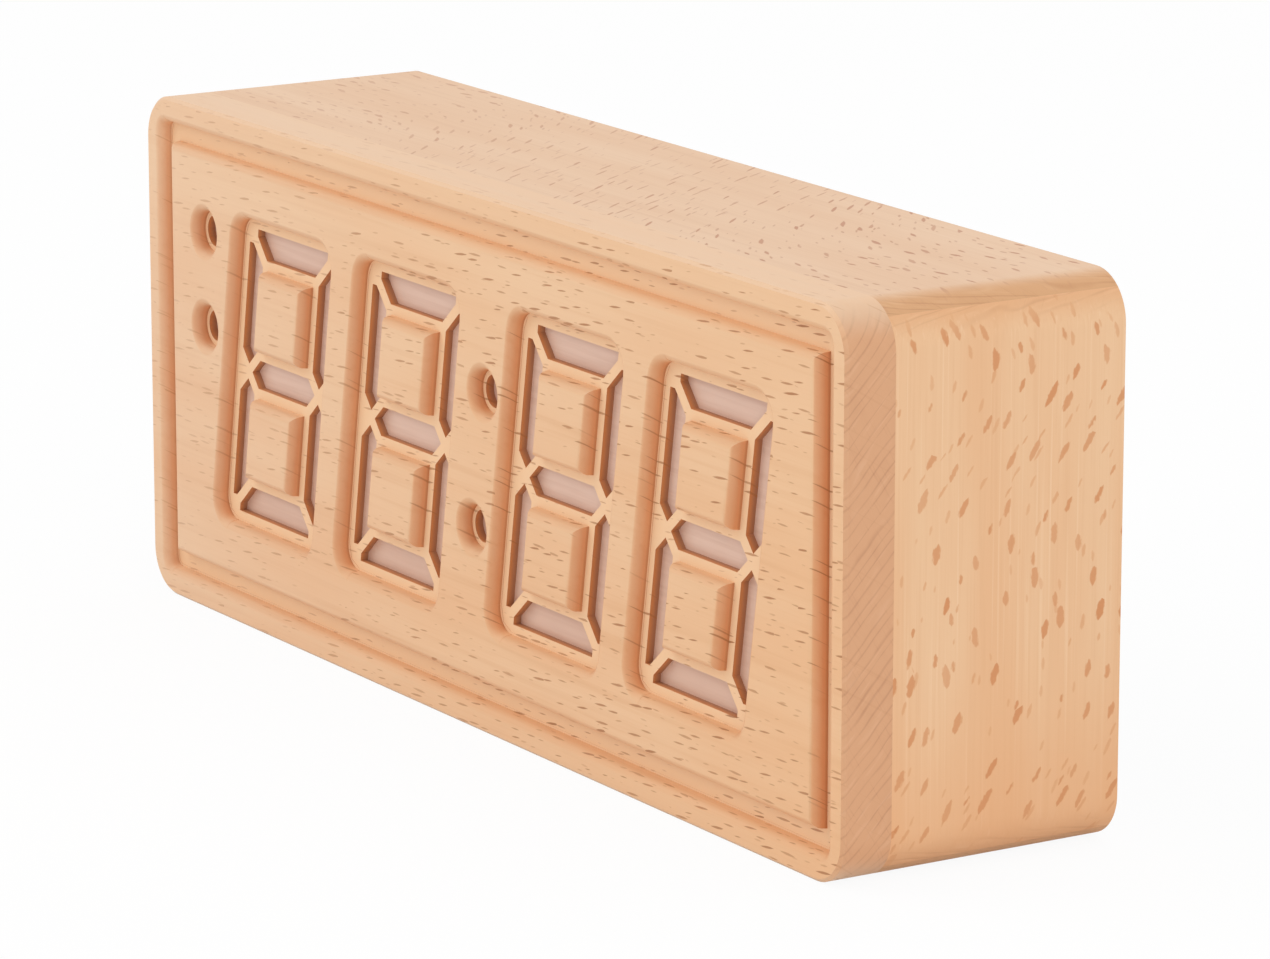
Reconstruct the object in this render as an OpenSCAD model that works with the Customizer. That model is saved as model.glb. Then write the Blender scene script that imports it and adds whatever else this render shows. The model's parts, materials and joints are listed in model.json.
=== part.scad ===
// Wooden alarm clock: a mitred beech case behind a carved beech front.
// The seven-segment digits are cut through the front plank and lit from behind.
// Millimetres, +Z up, front face towards -Y, origin on the bottom under the middle.

/* [Case] */
// Width of the case
case_w = 200; // [197:1:260]
// Height of the case
case_h = 81; // [80:1:120]
// Depth of the case, front plank included
case_d = 46; // [44:1:80]
// Radius of the four long edges
corner_r = 7; // [3:0.5:9]
// Thickness of the four case boards
board_t = 8; // [6:0.5:8.5]
// Thickness of the carved front plank
plank_t = 8; // [7:0.5:12]
// Small chamfer round the front of the plank
arris = 0.5; // [0.2:0.1:1]
// Side of the square glue blocks in the corners
block_side = 10; // [8:0.5:11]

/* [Carved front] */
// Radius of the round-over that the carving cutter leaves
flank_r = 1.65; // [1.2:0.05:2]
// How far the cut stops short of a full quarter round
flank_stop = 0.05; // [0.02:0.01:0.1]
// Depth of the carving down to the ledges
relief_d = 2.2; // [1.8:0.1:2.6]
// Draft in degrees of the wall below the round-over
flank_draft = 8; // [6:0.5:10]
// Width of the flat rim outside the border groove
rim_w = 2.9; // [2.5:0.1:5]
// Flat width at the bottom of the border groove
groove_tip = 2.9; // [1:0.1:3.5]
// Flat ledge between a flank and a segment hole
ledge_w = 1.6; // [1:0.1:2]
// Corner radius of the ledge round a digit
ledge_r = 3.3; // [1.5:0.1:3.6]
// How much deeper the flat floor is cut than the foot of the round-over
floor_skim = 0.05; // [0.03:0.01:0.1]
// Distance of the deeper floor from the foot of the round-over
skim_in = 0.3; // [0.2:0.1:0.5]
// How far the corner dishes are set in from the straight runs
dish_in = 0.04; // [0.02:0.01:0.08]
// Depth of the segment holes below the ledge
hole_d = 1.35; // [1:0.05:2.5]

/* [Digits] */
// Height of a digit over its top and bottom holes
digit_h = 46.4; // [40:0.2:48]
// Width of a digit over its left and right holes
digit_w = 26.9; // [24:0.1:27.5]
// Width of one segment hole
segment_w = 4.6; // [3:0.1:5]
// Bridge of wood between two neighbouring segments
segment_gap = 1.7; // [1:0.1:2.5]
// Blunt end at the outer corner of a segment
segment_blunt = 1.2; // [0.6:0.1:1.6]
// Lean of the digits in degrees
slant = 9; // [4:0.5:10]
// Distance between the two digits of a pair
digit_pitch = 38.6; // [38:0.1:40]
// Distance between the inner digits, across the colon
colon_pitch = 45.5; // [44:0.5:48]
// Offset of the digit group to the right of the middle
group_x = 1.3; // [0:0.1:4]
// Offset of the digit group above the middle
group_rise = 0.1; // [0:0.1:1]
// Diameter of a dot hole
dot_d = 5; // [3.5:0.1:5.5]
// Flat ledge round a dot hole
dot_ledge = 0.8; // [0.4:0.1:1]
// Distance between the two dots of the colon
colon_span = 21; // [16:0.5:24]
// Offset of the colon to the right of the middle between its digits
colon_shift = 1.4; // [0:0.1:1.5]
// Offset of the colon above the middle of the digits
colon_rise = 0.5; // [0:0.1:1]
// Distance of the alarm dots from the first digit
alarm_dot_gap = 21.4; // [19:0.1:22.5]
// Distance between the two alarm dots
alarm_dot_span = 15.2; // [12:0.1:20]
// Height of the upper alarm dot above the middle
alarm_dot_rise = 20.6; // [18:0.1:22]

/* [Display stack] */
// Thickness of the translucent diffuser sheet
diffuser_t = 1.5; // [1:0.1:2]
// Thickness of a circuit board
pcb_t = 1.6; // [1:0.1:2]
// Margin of the rear pocket round the holes
pocket_margin = 3; // [2:0.5:4]
// Width of the wood beside the pocket that takes the screws of the display board
pcb_lap = 4; // [3.5:0.1:5]
// Gap between the edge of the display board and the case boards
board_room = 1; // [0.5:0.1:1.5]
// How far a light cell is wider than its segment on each side
cell_margin = 0.3; // [0:0.1:0.6]
// Length of a surface-mounted lamp
lamp_l = 3; // [2:0.1:3.4]
// Width of a surface-mounted lamp
lamp_w = 1.6; // [1:0.1:2.4]
// Height of a surface-mounted lamp
lamp_h = 0.8; // [0.5:0.1:1.2]

/* [Rear cover] */
// Thickness of the rear cover
cover_t = 2.2; // [1.8:0.1:3]
// How far the cover lies inside the back edge of the case
cover_inset = 1; // [0.9:0.1:3]
// Diameter of the cover screws
screw_d = 2.5; // [2:0.1:3]
// Diameter of the screw heads
head_d = 4.8; // [4:0.1:5]
// Height of the screw heads
head_h = 1.3; // [1:0.1:1.6]
// Diameter of the sounder holes
sound_hole_d = 1.6; // [1:0.1:2]
// Distance of the outer sounder holes from the middle one
sound_ring_r = 3.8; // [3:0.1:5]

/* [Controls] */
// Height of the free space between control board and cover
board_gap = 8.2; // [8:0.1:12]
// Width of the control board
control_w = 72; // [70:1:74]
// Height of the control board
control_h = 46; // [44:1:50]
// Middle of the control board, in from the right end of the case
control_x = 58; // [57:0.5:60]
// Diameter of a push button
button_d = 7; // [5:0.1:8]
// Distance between the push buttons
button_pitch = 14; // [12:0.5:16]
// Height of the button row above the middle of the case
button_rise = 12; // [10:0.5:14]
// How far a button stands out of the cover
button_proud = 0.8; // [0.4:0.1:0.8]
// Travel of a push button
button_travel = 0.5; // [0.2:0.1:0.8]
// Side of a switch under a button
tact_side = 6; // [5:0.1:7]
// Height of a switch under a button
tact_h = 3.5; // [3:0.1:4]
// Diameter of the plunger in a switch
plunger_d = 3.5; // [2.5:0.1:4]
// Travel of the alarm switch
slide_travel = 3; // [2:0.1:4]
// Length of the alarm switch knob
knob_l = 5; // [4:0.1:6]
// Width of the alarm switch knob
knob_w = 3.4; // [3:0.1:4]
// Bore of the power socket
socket_bore = 5.6; // [5:0.1:6]
// Diameter of the pin in the power socket
socket_pin_d = 2.1; // [1.6:0.1:2.6]
// Outer diameter of the socket's nose
socket_nose_d = 8; // [7.6:0.1:9]
// Diameter of the sounder
buzzer_d = 12; // [10:0.5:14]
// Height of the sounder
buzzer_h = 7; // [5:0.1:7.5]

/* [Battery] */
// Diameter of a cell
cell_d = 10.5; // [10:0.1:10.8]
// Length of a cell
cell_l = 44.5; // [42:0.1:45.5]
// Room for the contacts at both ends of a cell together
contact_room = 5.5; // [4.5:0.1:7]
// Distance between the cells
cell_pitch = 11; // [10.7:0.1:11.6]
// Wall of the battery well
well_wall = 3; // [2.6:0.1:4]
// Thickness of the floor of the battery well
well_floor = 1.4; // [1:0.1:2]
// Middle of the battery well, left of the case's middle
battery_x = 40; // [38:0.5:42]
// Thickness of the battery door
door_t = 1.8; // [1.5:0.1:2]
// Ledge that carries the battery door
door_ledge = 1.5; // [1:0.1:1.8]
// Thickness of a contact plate
contact_t = 0.4; // [0.3:0.1:0.6]

/* [Fits] */
// Gap between the cover or a board and the wood round it
loose_fit = 0.3; // [0.2:0.05:0.4]
// Gap round a guided button or knob
slide_fit = 0.1; // [0.05:0.01:0.15]
// Gap round a screw in its hole
screw_fit = 0.05; // [0.02:0.01:0.1]
// Gap between a stop and what it stops
stop_gap = 0.3; // [0.2:0.05:0.4]

/* [Hidden] */
$fn = 48;

over = 1;
sink = 0.5;
mid_z = case_h / 2;
digits_z = mid_z + group_rise;
front_y = -case_d / 2;
back_y = case_d / 2;
plank_back_y = front_y + plank_t;
inner_w = case_w - 2 * board_t;
inner_h = case_h - 2 * board_t;

flank_t = tan(flank_draft);
flank_c = relief_d + flank_stop - flank_r;
flank_x = flank_r + flank_t * flank_c;
flank_l = flank_x - sqrt(pow(flank_r, 2) - pow(flank_r - flank_stop, 2));
wall_top = flank_c + flank_r / 8;
web_y = front_y + relief_d + hole_d;
groove_w = 2 * flank_l + groove_tip;
field_w = case_w - 2 * (rim_w + groove_w);
field_h = case_h - 2 * (rim_w + groove_w);
lean = tan(slant);

half_h = digit_h / 2;
board_screw_d = 1.9;
board_head_d = 3.4;
board_head_h = 1.1;
board_screw_in = 4;
side_room = inner_w / 2 - board_room - pocket_margin - (pcb_lap + board_head_d) / 2;
left_reach = colon_pitch / 2 + digit_pitch + alarm_dot_gap - group_x;
right_reach = colon_pitch / 2 + digit_pitch + digit_w / 2 + group_x;
squeeze = min(1, (side_room - dot_d / 2) / left_reach, (side_room - lean * half_h) / right_reach);
half_w = squeeze * digit_w / 2;
mitre_in = segment_gap * sqrt(2) / 2;
pad_w = 2 * (half_w - segment_w - ledge_w);
pad_h = (digit_h - 3 * segment_w) / 2 - 2 * ledge_w;
pad_rise = (digit_h - segment_w) / 4;
digit_xs = squeeze * [
    group_x - colon_pitch / 2 - digit_pitch, group_x - colon_pitch / 2,
    group_x + colon_pitch / 2, group_x + colon_pitch / 2 + digit_pitch
];
colon_x = squeeze * (group_x + colon_shift);
alarm_dot_x = digit_xs[0] - squeeze * alarm_dot_gap;
dot_places = [
    [colon_x + lean * colon_span / 2, colon_rise + colon_span / 2],
    [colon_x - lean * colon_span / 2, colon_rise - colon_span / 2],
    [alarm_dot_x, alarm_dot_rise],
    [alarm_dot_x, alarm_dot_rise - alarm_dot_span]
];

pocket_left = alarm_dot_x - dot_d / 2 - pocket_margin;
pocket_right = digit_xs[3] + half_w + lean * half_h + pocket_margin;
pocket_w = pocket_right - pocket_left;
pocket_h = digit_h + 2 * pocket_margin;
pocket_x = (pocket_left + pocket_right) / 2;
pcb_w = inner_w - 2 * board_room;
pcb_h = inner_h - 2 * board_room;
pcb_back_y = plank_back_y + pcb_t;
display_screw_places = [for (side = [-1, 1], step = [-1, 0, 1])
    [pocket_x + side * (pocket_w + pcb_lap) / 2, digits_z + step * pocket_h / 3]];

cover_y = back_y - cover_inset - cover_t;
cover_out_y = back_y - cover_inset;
cover_w = inner_w - 2 * loose_fit;
cover_h = inner_h - 2 * loose_fit;
block_clear = 2;
block_front_y = pcb_back_y + board_head_h + block_clear;
block_places = [for (sx = [-1, 1], sz = [-1, 1])
    [sx * (inner_w - block_side) / 2, mid_z + sz * (inner_h - block_side) / 2]];
cover_screw_in = 9;
head_sink = 0.8;

control_back_y = cover_y - board_gap;
control_front_y = control_back_y - pcb_t;
control_mid = case_w / 2 - control_x;
control_boss_d = 6;
control_boss_in = 3.6;
control_screw_places = [for (sx = [-1, 1], sz = [-1, 1])
    [control_mid + sx * (control_w / 2 - control_boss_in), mid_z + sz * (control_h / 2 - control_boss_in)]];
button_z = mid_z + button_rise;
first_button_off = 24;
first_button_x = control_mid - first_button_off;
button_xs = [first_button_x, first_button_x + button_pitch, first_button_x + 2 * button_pitch];
tact_top_y = control_back_y + tact_h;
plunger_up = 1.5;
plunger_down = 1.4;
flange_d = button_d + 2;
flange_t = 1;
flange_y = cover_y - stop_gap - flange_t;
slide_off = 23;
slide_x = control_mid + slide_off;
slide_z = button_z;
slide_spare = 6.4;
slide_body_w = 5;
slide_body_h = 3.6;
lever_l = 2;
lever_w = 1.8;
lever_up = 1.6;
lever_y = control_back_y + lever_up;
knob_y = control_back_y + slide_body_h + 2 * stop_gap;
socket_off = 24;
socket_drop = 11;
socket_x = control_mid + socket_off;
socket_z = mid_z - socket_drop;
socket_body_w = 10;
socket_body_h = 11;
socket_shoulder = 1.2;
socket_nose_y = cover_y - socket_shoulder;
buzzer_off = 6;
buzzer_drop = 10;
buzzer_x = control_mid - buzzer_off;
buzzer_z = mid_z - buzzer_drop;
chip_w = 7.5;
chip_h = 2.3;
driver_chip_l = 17.9;
driver_chip_rise = 8;
clock_chip_l = 12.8;
clock_chip_off = 18;
clock_chip_rise = 4;
quartz_drop = 8;
quartz_d = 3;
quartz_l = 8;

well_in_w = cell_l + contact_room;
cell_room = 0.5;
well_in_h = 3 * cell_pitch + cell_room;
well_in_d = cell_d + 2 * cell_room;
well_w = well_in_w + 2 * well_wall;
well_h = well_in_h + 2 * well_wall;
well_y = cover_y - well_in_d;
well_x = -battery_x;
door_gap = 0.2;
door_w = well_in_w + 2 * door_ledge;
door_h = well_in_h + 2 * door_ledge;
door_y = cover_y + door_gap;
hinge_y = door_y + door_t / 2;
hinge_z = mid_z - door_h / 2 + door_t / 2;
tab_w = 6;
tab_t = 1;
tab_down = 1.6;
tab_room = 2.9;
tab_xs = [well_x - door_w / 3, well_x + door_w / 3];
cell_y = well_y + door_gap + cell_d / 2;
cell_zs = [mid_z - cell_pitch, mid_z, mid_z + cell_pitch];
nub_d = 3.8;
nub_l = 1;
plus_reach = 1.3;
minus_reach = contact_room - plus_reach;
contact_side = 8;
tail_w = 2;
lead_d = 1.2;
lead_y = well_y - well_floor - stop_gap - lead_d / 2;
tail_y = lead_y - lead_d;
post_side = 1.6;
post_in = 3;
post_x = control_mid - control_w / 2 + post_in;
socket_floor = 2;

beech = "#e8bd95";
beech_side = "#e3b78d";
beech_end = "#d9a47d";
black_plastic = "#26272a";
board_green = "#1f5a3a";
steel = "#b9bcc0";

// Places a drawing made in the plane of the front: x runs right, y up, and it rises towards the viewer.
module on_face(depth, x = 0, z = mid_z) {
    translate([x, front_y + depth, z])
        rotate([90, 0, 0])
            children();
}

// Places a cylinder or an outline so that it rises towards the back from the given place.
module to_back(x, y, z) {
    translate([x, y, z])
        rotate([-90, 0, 0])
            children();
}

function leant(points) = [for (p = points) [p[0] + lean * p[1], p[1]]];

// Block that spans from y0 to y1 with its middle at x, z.
module slab(w, h, y0, y1, x = 0, z = mid_z) {
    translate([x - w / 2, y0, z - h / 2])
        cube([w, y1 - y0, h]);
}

// Section of the carving, from inside the pocket out to the end of its flank; height zero is the ledge.
module flank_section(r, inside = 0) {
    difference() {
        translate([-inside, 0])
            square([inside + r + flank_x, relief_d + over]);
        translate([r + flank_x, flank_c])
            circle(r = flank_r);
        translate([r, 0])
            polygon([[-flank_t * over, -over], [flank_t * wall_top, wall_top],
                [flank_x + over, wall_top], [flank_x + over, -over]]);
    }
}

module flank_run(length, r) {
    rotate([90, 0, 90])
        linear_extrude(length)
            flank_section(r, over);
}

// Round dish whose floor has the given radius.
module flank_dish(r) {
    rotate_extrude()
        flank_section(r);
}

// Pocket with a flat floor, round corners and a round-over all along its edge.
// The corner dishes are set in by a hair from the straight runs, as plunge cuts are.
module flared_pocket(w, h, r, angle) {
    t = tan(angle);
    hw = w / 2 - r / cos(angle);
    hh = h / 2 - r;
    tl = [t * hh - hw, hh];
    tr = [t * hh + hw, hh];
    br = [hw - t * hh, -hh];
    bl = [-hw - t * hh, -hh];
    side = 2 * hh / cos(angle);
    core = [[tr, -angle, 90], [tl, 90, 180 - angle], [bl, 180 - angle, 270], [br, 270, 360 - angle]];
    union() {
        translate([0, 0, -floor_skim])
            linear_extrude(relief_d + over)
                polygon([for (c = core, a = [c[1], (c[1] + c[2]) / 2, c[2]])
                    c[0] + (r - skim_in) * [cos(a), sin(a)]]);
        translate(tl)
            flank_run(2 * hw, r);
        translate(tr)
            rotate(-90 - angle)
                flank_run(side, r);
        translate(br)
            rotate(180)
                flank_run(2 * hw, r);
        translate(bl)
            rotate(90 - angle)
                flank_run(side, r);
        for (v = [tl, tr, br, bl])
            translate([v[0] - sign(v[0]) * dish_in, v[1] - sign(v[1]) * dish_in, 0])
                flank_dish(r);
    }
}

// Bar with two rounded long edges, from which the raised pads are made.
module pillow_bar(length, width) {
    rotate([90, 0, 90])
        linear_extrude(length, center = true) {
            translate([flank_x - width / 2, -sink])
                square([width - 2 * flank_x, sink + relief_d + over + sink]);
            polygon([[-width / 2 - flank_t * sink, -sink], [flank_t * wall_top - width / 2, wall_top],
                [width / 2 - flank_t * wall_top, wall_top], [width / 2 + flank_t * sink, -sink]]);
            for (side = [-1, 1])
                translate([side * (width / 2 - flank_x), flank_c])
                    circle(r = flank_r);
        }
}

// Raised pad whose edges are rounded over and meet in mitres at its corners.
module pillow(w, h, angle) {
    intersection() {
        pillow_bar(2 * (w + h), h);
        rotate(90 - angle)
            pillow_bar(2 * (w + h), w * cos(angle));
    }
}

function top_segment() = [
    [-half_w + mitre_in + segment_blunt, half_h],
    [half_w - mitre_in - segment_blunt, half_h],
    [half_w - mitre_in - segment_blunt, half_h - segment_blunt],
    [half_w - mitre_in - segment_w, half_h - segment_w],
    [-half_w + mitre_in + segment_w, half_h - segment_w],
    [-half_w + mitre_in + segment_blunt, half_h - segment_blunt]
];

function middle_segment() = [
    [-half_w + segment_w / 2 + mitre_in, 0],
    [-half_w + segment_w + mitre_in, segment_w / 2],
    [half_w - segment_w - mitre_in, segment_w / 2],
    [half_w - segment_w / 2 - mitre_in, 0],
    [half_w - segment_w - mitre_in, -segment_w / 2],
    [-half_w + segment_w + mitre_in, -segment_w / 2]
];

function upper_left_segment() = [
    [-half_w, half_h - mitre_in - segment_blunt],
    [-half_w + segment_blunt, half_h - mitre_in - segment_blunt],
    [-half_w + segment_w, half_h - mitre_in - segment_w],
    [-half_w + segment_w, mitre_in + segment_w / 2],
    [-half_w + segment_w / 2, mitre_in],
    [-half_w, mitre_in + segment_w / 2]
];

function flipped(points, sx, sy) = [for (p = points) [sx * p[0], sy * p[1]]];

function digit_segments() = [
    top_segment(), middle_segment(), flipped(top_segment(), 1, -1),
    upper_left_segment(), flipped(upper_left_segment(), -1, 1),
    flipped(upper_left_segment(), 1, -1), flipped(upper_left_segment(), -1, -1)
];

function segment_middle(points) = [
    (max([for (p = points) p[0]]) + min([for (p = points) p[0]])) / 2,
    (max([for (p = points) p[1]]) + min([for (p = points) p[1]])) / 2
];

// All segment and dot openings as one flat drawing, widened by the margin where light cells need it.
module segment_prisms(length, grow = 0) {
    for (x = digit_xs, points = digit_segments()) {
        c = segment_middle(points);
        size_x = max([for (p = points) p[0]]) - c[0];
        size_y = max([for (p = points) p[1]]) - c[1];
        grown = [for (p = points)
            [c[0] + (p[0] - c[0]) * (1 + grow / size_x), c[1] + (p[1] - c[1]) * (1 + grow / size_y)]];
        translate([x, 0, 0])
            linear_extrude(length)
                polygon(leant(grown));
    }
    for (p = dot_places)
        translate([p[0], p[1], 0])
            cylinder(d = dot_d + 2 * grow, h = length);
}

// Slab with round corners, as seen from the front, with a chamfer along its front edge.
module rounded_plank(w, h, r, y0, y1, chamfer) {
    hw = w / 2 - r;
    hh = h / 2 - r;
    depth = y1 - y0;
    edge = [[0, 0], [r, 0], [r, depth - chamfer], [r - chamfer, depth], [0, depth]];
    translate([0, y1, mid_z])
        rotate([90, 0, 0]) {
            translate([-hw, -hh, 0])
                cube([2 * hw, 2 * hh, depth]);
            for (k = [0, 1, 2, 3]) {
                along = k % 2 == 0 ? [hh, 2 * hw] : [hw, 2 * hh];
                rotate(-90 * k)
                    translate([-along[1] / 2, along[0], 0])
                        rotate([90, 0, 90])
                            linear_extrude(along[1])
                                polygon(edge);
            }
            for (k = [0, 1, 2, 3])
                translate([(k == 0 || k == 3 ? 1 : -1) * hw, (k < 2 ? 1 : -1) * hh, 0])
                    rotate(90 * k)
                        rotate_extrude(angle = 90)
                            polygon(edge);
        }
}

// Plank with its carving only: the border groove, the moats round the digits and the dot dishes.
module carved_plank() {
    difference() {
        rounded_plank(case_w, case_h, corner_r, front_y, plank_back_y, arris);
        on_face(relief_d)
            difference() {
                flared_pocket(field_w + 2 * (groove_w - flank_l), field_h + 2 * (groove_w - flank_l),
                    groove_tip / 2, 0);
                pillow(field_w + 2 * flank_l, field_h + 2 * flank_l, 0);
            }
        for (x = digit_xs)
            on_face(relief_d, x, digits_z)
                difference() {
                    flared_pocket(2 * (half_w + ledge_w), digit_h + 2 * ledge_w, ledge_r, slant);
                    for (rise = [-pad_rise, pad_rise])
                        translate([lean * rise, rise, 0])
                            pillow(pad_w, pad_h, slant);
                }
        for (p = dot_places)
            on_face(relief_d, p[0], digits_z + p[1])
                flank_dish(dot_d / 2 + dot_ledge);
    }
}

// Carved front plank, with the segment holes sawn through to the pocket behind them.
module front_panel() {
    color(beech)
        difference() {
            carved_plank();
            on_face(relief_d + hole_d + sink, 0, digits_z)
                segment_prisms(hole_d + 2 * sink);
            slab(pocket_w, pocket_h, web_y, plank_back_y + over, pocket_x, digits_z);
            for (p = display_screw_places)
                to_back(p[0], plank_back_y - board_screw_in, p[1])
                    cylinder(d = board_screw_d + 2 * screw_fit, h = board_screw_in + over);
        }
}

// One of the four boards: the part of the case ring that lies inside the given mitre outline.
module case_board(outline) {
    color(beech_side)
        intersection() {
            difference() {
                rounded_plank(case_w, case_h, corner_r, plank_back_y, back_y, 0);
                slab(inner_w, inner_h, plank_back_y - over, back_y + over);
            }
            translate([0, back_y + over, 0])
                rotate([90, 0, 0])
                    linear_extrude(case_d)
                        polygon(outline);
        }
}

module top_board() {
    case_board([[-case_w / 2 - over, case_h + over], [case_w / 2 + over, case_h + over],
        [case_w / 2 - mid_z, mid_z], [mid_z - case_w / 2, mid_z]]);
}

module bottom_board() {
    case_board([[-case_w / 2 - over, -over], [case_w / 2 + over, -over],
        [case_w / 2 - mid_z, mid_z], [mid_z - case_w / 2, mid_z]]);
}

module left_side_board() {
    case_board([[-case_w / 2 - over, -over], [-case_w / 2 - over, case_h + over],
        [mid_z - case_w / 2, mid_z]]);
}

module right_side_board() {
    case_board([[case_w / 2 + over, -over], [case_w / 2 + over, case_h + over],
        [case_w / 2 - mid_z, mid_z]]);
}

// Glue blocks that hold the mitres and take the cover screws.
module corner_blocks() {
    color(beech_end)
        for (p = block_places)
            difference() {
                slab(block_side, block_side, block_front_y, cover_y, p[0], p[1]);
                to_back(p[0], cover_y - cover_screw_in, p[1])
                    cylinder(d = screw_d + 2 * screw_fit, h = cover_screw_in + over);
            }
}

module diffuser_sheet() {
    color("#e4cdc2")
        slab(pocket_w - 2 * loose_fit, pocket_h - 2 * loose_fit, web_y, web_y + diffuser_t,
            pocket_x, digits_z);
}

// Light box with one cell behind each segment, flush with the back of the plank.
module segment_reflector() {
    color("#eeeeea")
        difference() {
            slab(pocket_w - 2 * loose_fit, pocket_h - 2 * loose_fit, web_y + diffuser_t, plank_back_y,
                pocket_x, digits_z);
            on_face(plank_t + over, 0, digits_z)
                segment_prisms(plank_t, cell_margin);
        }
}

module display_board() {
    color(board_green)
        difference() {
            slab(pcb_w, pcb_h, plank_back_y, pcb_back_y);
            for (p = display_screw_places)
                to_back(p[0], plank_back_y - over, p[1])
                    cylinder(d = board_screw_d + 2 * screw_fit, h = pcb_t + 2 * over);
        }
}

module display_lamps() {
    color("#f4f1e6") {
        for (x = digit_xs, points = digit_segments()) {
            c = segment_middle(points);
            upright = abs(c[0]) > segment_w;
            slab(upright ? lamp_w : lamp_l, upright ? lamp_l : lamp_w, plank_back_y - lamp_h, plank_back_y,
                x + c[0] + lean * c[1], digits_z + c[1]);
        }
        for (p = dot_places)
            slab(lamp_w, lamp_w, plank_back_y - lamp_h, plank_back_y, p[0], digits_z + p[1]);
    }
}

// Flat chip with two rows of legs, lying on the face at y; the side says which way it rises.
module leaded_chip(l, w, h, legs, x, z, y, side) {
    foot = 1;
    leg_w = 0.5;
    pitch = l / legs;
    slab(l, w, min(y, y + side * h), max(y, y + side * h), x, z);
    for (k = [0 : legs - 1], row = [-1, 1])
        slab(leg_w, foot, min(y, y + side * h / 2), max(y, y + side * h / 2),
            x + (k - (legs - 1) / 2) * pitch, z + row * (w + foot) / 2);
}

module display_driver_chip() {
    color("#222326")
        leaded_chip(driver_chip_l, chip_w, chip_h, 14, pocket_x, mid_z + driver_chip_rise, pcb_back_y, 1);
}

// Pan-head screws on one face; they go in along y in the given direction.
module pan_screws(places, y, d, hd, hh, length, side) {
    for (p = places)
        translate([p[0], y, p[1]])
            rotate([side * 90, 0, 0]) {
                difference() {
                    cylinder(d = hd, h = hh);
                    translate([-hd / 2, -hd / 12, hh * 0.6])
                        cube([hd, hd / 6, hh]);
                    translate([-hd / 12, -hd / 2, hh * 0.6])
                        cube([hd / 6, hd, hh]);
                }
                translate([0, 0, -length])
                    cylinder(d = d, h = length + hh / 3);
            }
}

module display_screws() {
    color(steel)
        pan_screws(display_screw_places, pcb_back_y, board_screw_d, board_head_d, board_head_h,
            pcb_t + board_screw_in - stop_gap, -1);
}

// Flat cable from the plug on the display board back to the plug on the control board.
module display_ribbon() {
    ribbon_w = 12;
    ribbon_t = 1;
    plug_h = 5;
    plug_w = 6;
    bend_r = 1.5;
    drop = 10;
    x = control_mid - 10;
    z = mid_z - 6;
    start_y = pcb_back_y + plug_h;
    end_y = control_front_y - plug_h;
    bend_y = (start_y + end_y) / 2;
    color("#9b9da1") {
        slab(ribbon_w + 3, plug_w, pcb_back_y, start_y, x, z);
        slab(ribbon_w + 3, plug_w, end_y, control_front_y, x, z - drop);
        translate([x - ribbon_w / 2, 0, 0])
            rotate([90, 0, 90])
                linear_extrude(ribbon_w) {
                    translate([start_y - sink, z - ribbon_t / 2])
                        square([bend_y - bend_r - start_y + sink, ribbon_t]);
                    translate([bend_y - bend_r, z - bend_r])
                        ribbon_bend(bend_r, ribbon_t);
                    translate([bend_y - ribbon_t / 2, z - drop + bend_r])
                        square([ribbon_t, drop - 2 * bend_r]);
                    translate([bend_y + bend_r, z - drop + bend_r])
                        rotate(180)
                            ribbon_bend(bend_r, ribbon_t);
                    translate([bend_y + bend_r, z - drop - ribbon_t / 2])
                        square([end_y - bend_y - bend_r + sink, ribbon_t]);
                }
    }
}

// Quarter bend of the flat cable, seen along its width.
module ribbon_bend(r, t) {
    intersection() {
        difference() {
            circle(r = r + t / 2);
            circle(r = r - t / 2);
        }
        square(r + t);
    }
}

// Rear cover with its battery well, bosses and control openings.
module rear_cover() {
    color(black_plastic)
        difference() {
            union() {
                slab(cover_w, cover_h, cover_y, cover_out_y);
                slab(well_w, well_h, well_y - well_floor, cover_y + sink, well_x);
                for (p = control_screw_places)
                    to_back(p[0], control_back_y, p[1])
                        cylinder(d = control_boss_d, h = board_gap + sink);
            }
            slab(well_in_w, well_in_h, well_y, cover_out_y + over, well_x);
            slab(door_w + 2 * door_gap, door_h + 2 * door_gap, cover_y, cover_out_y + over, well_x);
            for (x = tab_xs)
                slab(tab_w + 2 * stop_gap, 2 * tab_room, cover_y - tab_room, cover_y,
                    x, mid_z - well_in_h / 2 - door_ledge);
            for (end = [-1, 1])
                slab(2 * contact_t, tail_w + 2 * slide_fit, well_y - well_floor - over, well_y + over,
                    well_x + end * (well_in_w / 2 - contact_t), cell_zs[1 - end]);
            for (p = control_screw_places)
                to_back(p[0], control_back_y - over, p[1])
                    cylinder(d = board_screw_d + 2 * screw_fit, h = board_screw_in + over + stop_gap);
            for (p = block_places) {
                to_back(p[0], cover_y - over, p[1])
                    cylinder(d = screw_d + 2 * screw_fit, h = cover_t + 2 * over);
                to_back(p[0], cover_out_y - head_sink, p[1])
                    cylinder(d = head_d + 2 * loose_fit, h = head_sink + over);
            }
            for (x = button_xs)
                to_back(x, cover_y - over, button_z)
                    cylinder(d = button_d + 2 * slide_fit, h = cover_t + 2 * over);
            slab(knob_l + slide_travel + 2 * stop_gap, knob_w + 4 * slide_fit,
                cover_y - over, cover_out_y + over, slide_x, slide_z);
            to_back(socket_x, cover_y - over, socket_z)
                cylinder(d = socket_nose_d + 2 * slide_fit, h = cover_t + 2 * over);
            for (k = [0 : 6])
                to_back(buzzer_x + (k == 0 ? 0 : sound_ring_r * cos(60 * k)), cover_y - over,
                    buzzer_z + (k == 0 ? 0 : sound_ring_r * sin(60 * k)))
                    cylinder(d = sound_hole_d, h = cover_t + 2 * over);
        }
}

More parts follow.
